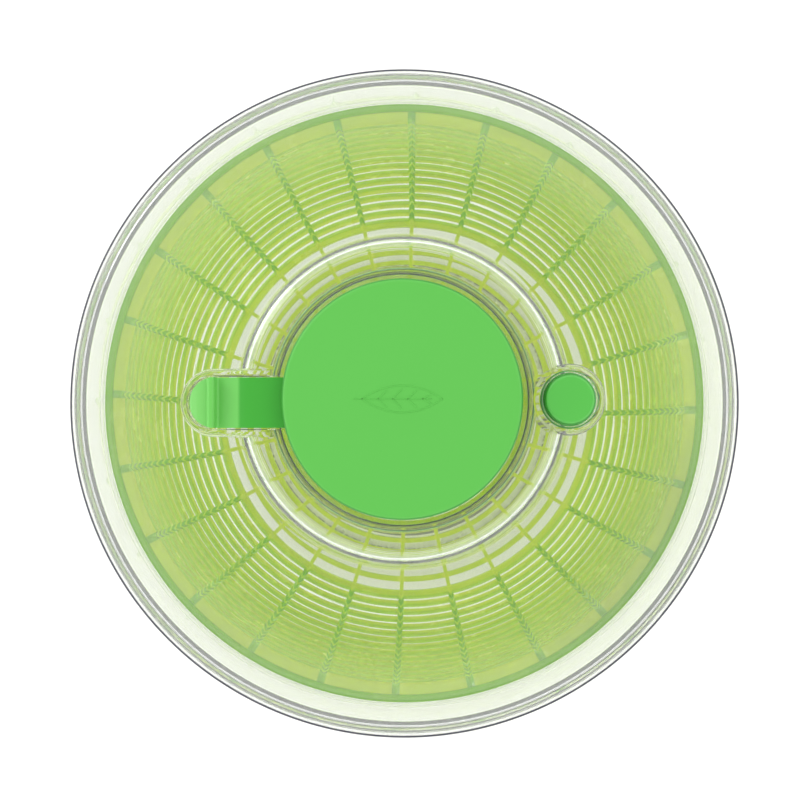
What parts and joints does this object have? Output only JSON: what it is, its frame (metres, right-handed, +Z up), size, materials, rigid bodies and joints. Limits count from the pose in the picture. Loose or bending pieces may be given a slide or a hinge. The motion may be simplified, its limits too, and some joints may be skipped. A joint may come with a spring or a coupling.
{
  "type": "salad spinner",
  "caption": "Pump-action salad spinner: clear round bowl, slotted green basket that turns on a centre pin, and a clear lid with a sinking knob, a knob lock and a brake button.",
  "frame": {"origin": "on the spin axis at the underside of the soft base ring, where the spinner stands on the table", "axes": "+Z up along the spin axis, +X towards the brake button, -X towards the knob lock"},
  "size_m": [0.2674, 0.2674, 0.197],
  "materials": {
    "clear_bowl": "clear polished styrene copolymer, wall 2.6 mm",
    "clear_lid": "clear polished styrene copolymer, wall 2.1 mm",
    "clear_disc": "clear polished styrene copolymer",
    "lime_basket": "see-through lime polypropylene, fine satin",
    "green_rigid": "moulded opaque green plastic, satin",
    "green_soft": "soft-touch green elastomer, fine matt texture",
    "soft_ring": "milky soft elastomer, matt",
    "acetal": "natural white acetal",
    "steel": "stainless steel wire and strip"
  },
  "bodies": {
    "bowl": {"bowl": "clear_bowl", "base_ring": "soft_ring"},
    "pivot": {"pivot_bearing": "acetal"},
    "basket": {"basket": "lime_basket", "basket_hub": "lime_basket"},
    "lid": {"lid_cover": "clear_lid", "guide_tower": "acetal", "tower_screws": "steel", "bearing_bush": "acetal", "thrust_washer": "steel", "clutch_spring": "steel", "return_spring": "steel", "brake_spring": "steel"},
    "rotor": {"clutch_rotor": "acetal", "drive_disc": "clear_disc", "rotor_clip": "steel"},
    "nut": {"drive_nut": "acetal"},
    "knob": {"pump_knob": "green_rigid", "knob_pad": "green_soft", "drive_screw": "steel", "screw_retainer": "steel"},
    "brake": {"brake_button": "green_rigid", "brake_stem": "acetal", "brake_pad": "soft_ring"},
    "lock": {"lock_tab": "green_rigid"}
  },
  "joints": [
    {"name": "basket_lift", "type": "slide", "parent": "bowl", "child": "pivot", "axis": [0, 0, 1], "range_m": [0, 0.15]},
    {"name": "basket_spin", "type": "hinge", "parent": "pivot", "child": "basket", "pos_m": [0, 0, 0.022], "axis": [0, 0, 1], "continuous": true},
    {"name": "lid_lift", "type": "slide", "parent": "bowl", "child": "lid", "axis": [0, 0, 1], "range_m": [0, 0.3]},
    {"name": "rotor_spin", "type": "hinge", "parent": "lid", "child": "rotor", "pos_m": [0, 0, 0.155], "axis": [0, 0, 1], "continuous": true},
    {"name": "pump", "type": "slide", "parent": "lid", "child": "knob", "axis": [0, 0, 1], "range_m": [0, 0.029], "deforming": ["return_spring"]},
    {"name": "nut_spin", "type": "hinge", "parent": "lid", "child": "nut", "pos_m": [0, 0, 0.171], "axis": [0, 0, 1], "range_deg": [-5, 355]},
    {"name": "brake_press", "type": "slide", "parent": "lid", "child": "brake", "axis": [0, 0, 1], "range_m": [-0.003, 0], "stiffness_N_per_m": 400, "springref_m": 0.004, "deforming": ["brake_spring"]},
    {"name": "lock_slide", "type": "slide", "parent": "lid", "child": "lock", "axis": [1, 0, 0], "range_m": [0, 0.0033]}
  ],
  "couplings": [
    {"joint": "basket_lift", "follows": "lid_lift", "ratio": 0.5},
    {"joint": "rotor_spin", "follows": "basket_spin", "ratio": 1},
    {"joint": "nut_spin", "follows": "pump", "rad_per_m": 209.44}
  ]
}
